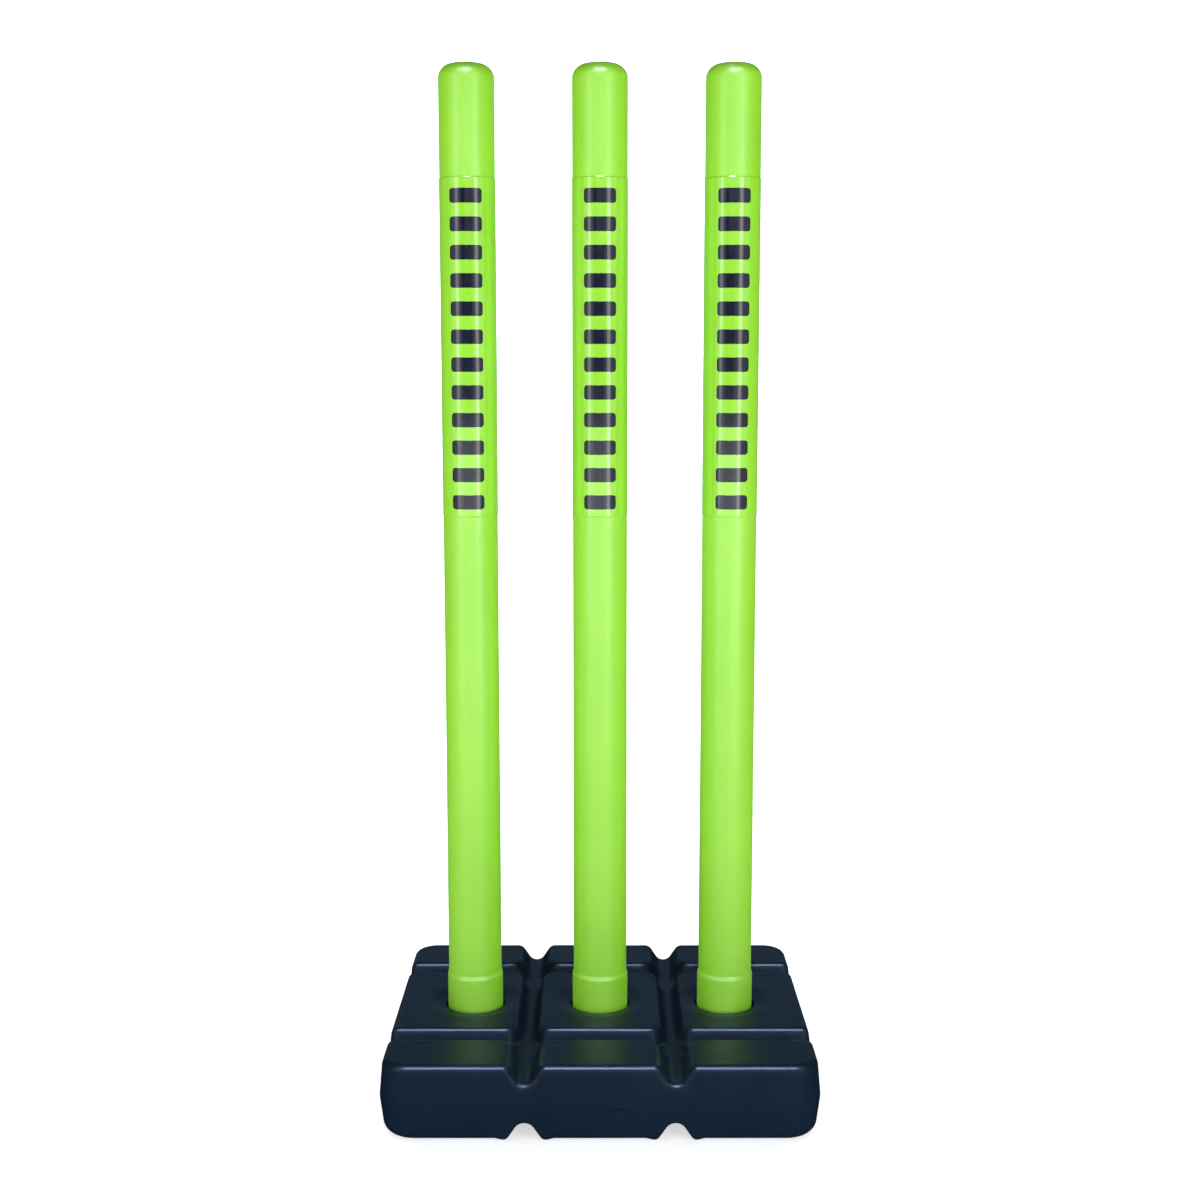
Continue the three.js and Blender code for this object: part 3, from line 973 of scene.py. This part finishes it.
# Lights, in degrees, metres and watts. One with an azimuth stands upright at its distance, from low to high,
# and faces the middle; the others have a place and a tilt. The camera sees none of them.
lights = [
    {"name": "softbox_left", "azimuth": -48, "distance": 1.4, "low": 0.05, "high": 1.2,
     "width": 1.1, "power": 2.7},
    {"name": "strip_left", "azimuth": -44, "distance": 1.3, "low": 0.05, "high": 1.2,
     "width": 0.28, "power": 2.9},
    {"name": "softbox_right", "azimuth": 44, "distance": 1.5, "low": 0.05, "high": 1.25,
     "width": 1.5, "power": 3.6},
    {"name": "strip_right", "azimuth": 36, "distance": 1.35, "low": 0.05, "high": 1.25,
     "width": 0.32, "power": 4.5},
    # gridded, from above, and seen only in the gloss of the base's upper edges
    {"name": "softbox_overhead", "place": (0.0, -0.9, 1.3), "tilt": 36, "tall": 0.6,
     "width": 1.3, "power": 12, "colour": (0.6, 0.72, 1.0), "spread": 36, "hidden": "diffuse"},
    {"name": "softbox_front", "azimuth": 0, "distance": 1.5, "low": 0.7, "high": 1.3,
     "width": 0.8, "power": 0.8},
    {"name": "softbox_low", "azimuth": 0, "distance": 1.35, "low": 0.04, "high": 0.42,
     "width": 2.0, "power": 3.9},
    # lights the wall behind
    {"name": "backdrop_light", "place": (0.0, 0.9, 2.3), "tilt": 40, "tall": 1.0,
     "width": 3.0, "power": 46, "spread": 110, "hidden": "glossy"},
    # what the pillows' tops mirror
    {"name": "teal_card", "azimuth": 180, "distance": 1.7, "low": 0.1, "high": 1.3,
     "width": 2.6, "power": 2.9, "colour": (0.38, 0.66, 0.95)},
]


def addAreaLight(values):
    data = bpy.data.lights.new(values["name"], "AREA")
    data.shape = "RECTANGLE"
    data.energy = values["power"]
    data.color = values.get("colour", (1, 1, 1))
    data.spread = math.radians(values.get("spread", 180))
    data.size = values["width"]
    light = bpy.data.objects.new(values["name"], data)
    bpy.context.scene.collection.objects.link(light)
    if "azimuth" in values:
        turn, distance = math.radians(values["azimuth"]), values["distance"]
        low, high = values["low"], values["high"]
        data.size_y = high - low
        light.location = (distance * math.sin(turn), -distance * math.cos(turn), (low + high) / 2)
        light.rotation_euler = (math.radians(90), 0, turn)
    else:
        data.size_y = values["tall"]
        light.location = values["place"]
        light.rotation_euler = (math.radians(values["tilt"]), 0, 0)
    hidden = values.get("hidden")
    light.visible_diffuse = hidden != "diffuse"
    light.visible_glossy = hidden != "glossy"
    light.visible_camera = False


addStudioFloor()
addBackdrop()
for values in lights:
    addAreaLight(values)
world = bpy.data.worlds.new("studio_world")
bpy.context.scene.world = world
world.use_nodes = True
background = world.node_tree.nodes["Background"]
background.inputs["Color"].default_value = studio["white"]
background.inputs["Strength"].default_value = studio["worldStrength"]
world.cycles_visibility.glossy = False
bpy.context.scene.view_settings.view_transform = "Standard"
print("stage set")
